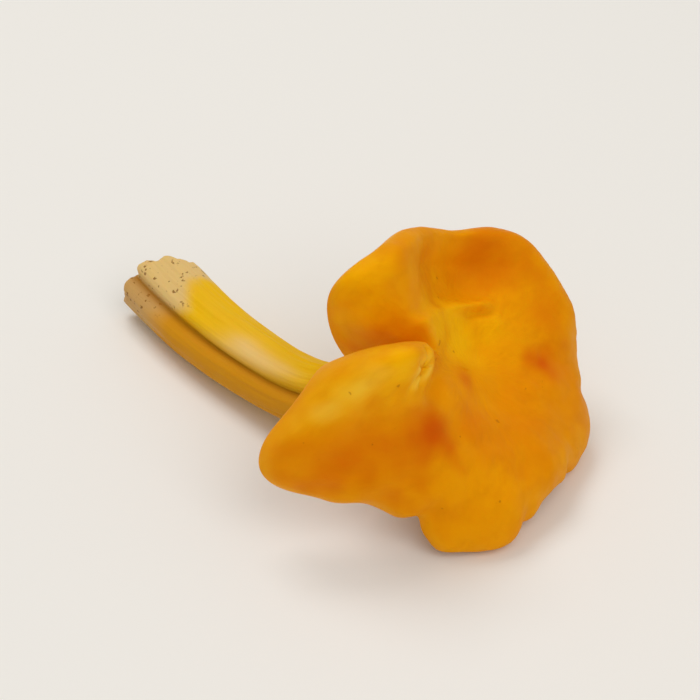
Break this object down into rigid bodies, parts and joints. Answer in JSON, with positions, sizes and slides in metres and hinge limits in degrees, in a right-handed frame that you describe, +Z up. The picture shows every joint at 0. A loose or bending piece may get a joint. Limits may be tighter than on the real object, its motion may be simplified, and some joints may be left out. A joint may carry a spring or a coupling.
{
  "type": "chanterelle mushroom",
  "caption": "Whole picked chanterelle lying on its side, with a wavy, split, hollowed cap, blunt ridges running down its underside and a tapering stem cut off at the end.",
  "frame": {"origin": "bottom centre of the bounding box: the middle of the mushroom as it lies at rest, on the surface under it", "axes": "+Z up from the surface, +X along the mushroom from the cut end of the stem to the cap, +Y to the side of the cap that faces away from its cleft"},
  "size_m": [0.087, 0.0616, 0.0416],
  "materials": {
    "flesh": "satin"
  },
  "bodies": {
    "root": {"chanterelle": "flesh"}
  },
  "joints": []
}
